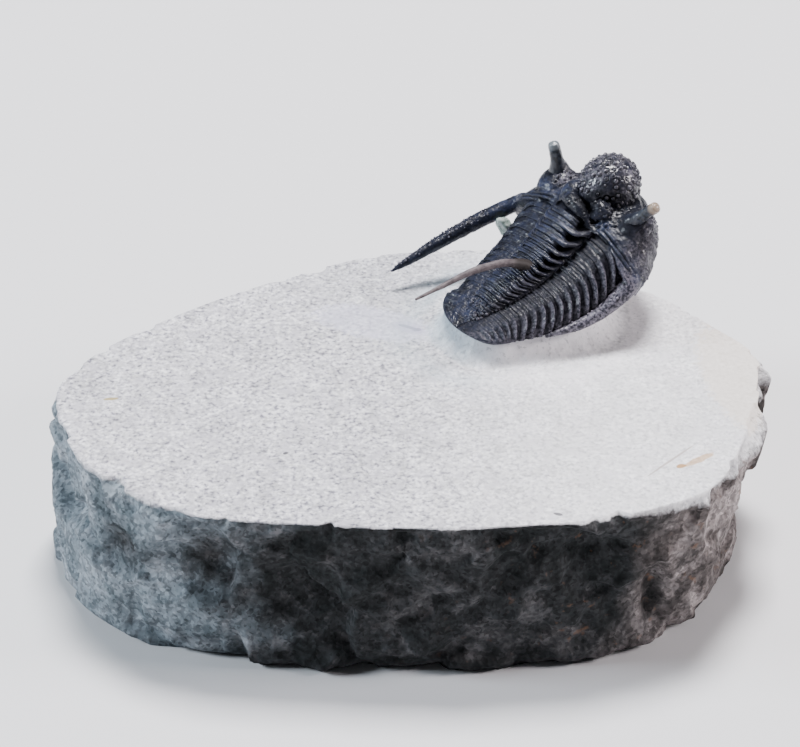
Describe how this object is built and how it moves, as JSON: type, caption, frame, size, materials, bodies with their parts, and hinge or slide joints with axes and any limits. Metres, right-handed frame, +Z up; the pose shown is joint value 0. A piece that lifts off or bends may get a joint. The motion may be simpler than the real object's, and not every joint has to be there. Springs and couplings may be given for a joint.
{
  "type": "trilobite fossil",
  "caption": "Prepared trilobite fossil with a tuberculated head, eye stalks and free-standing spines, raised on a pedestal of its flat-topped stone slab.",
  "frame": {"origin": "centre of the object's bounding box, on the flat underside of the stone", "axes": "+X along the slab's length, from the animal's tail end towards its head end; +Y across the slab, away from the face that the picture looks at; +Z up from the underside to the animal"},
  "size_m": [0.0564, 0.0387, 0.0264],
  "materials": {
    "matrix_stone": "matte",
    "trilobite": "satin"
  },
  "bodies": {
    "root": {"matrix_stone": "matrix_stone", "trilobite": "trilobite"}
  },
  "joints": []
}
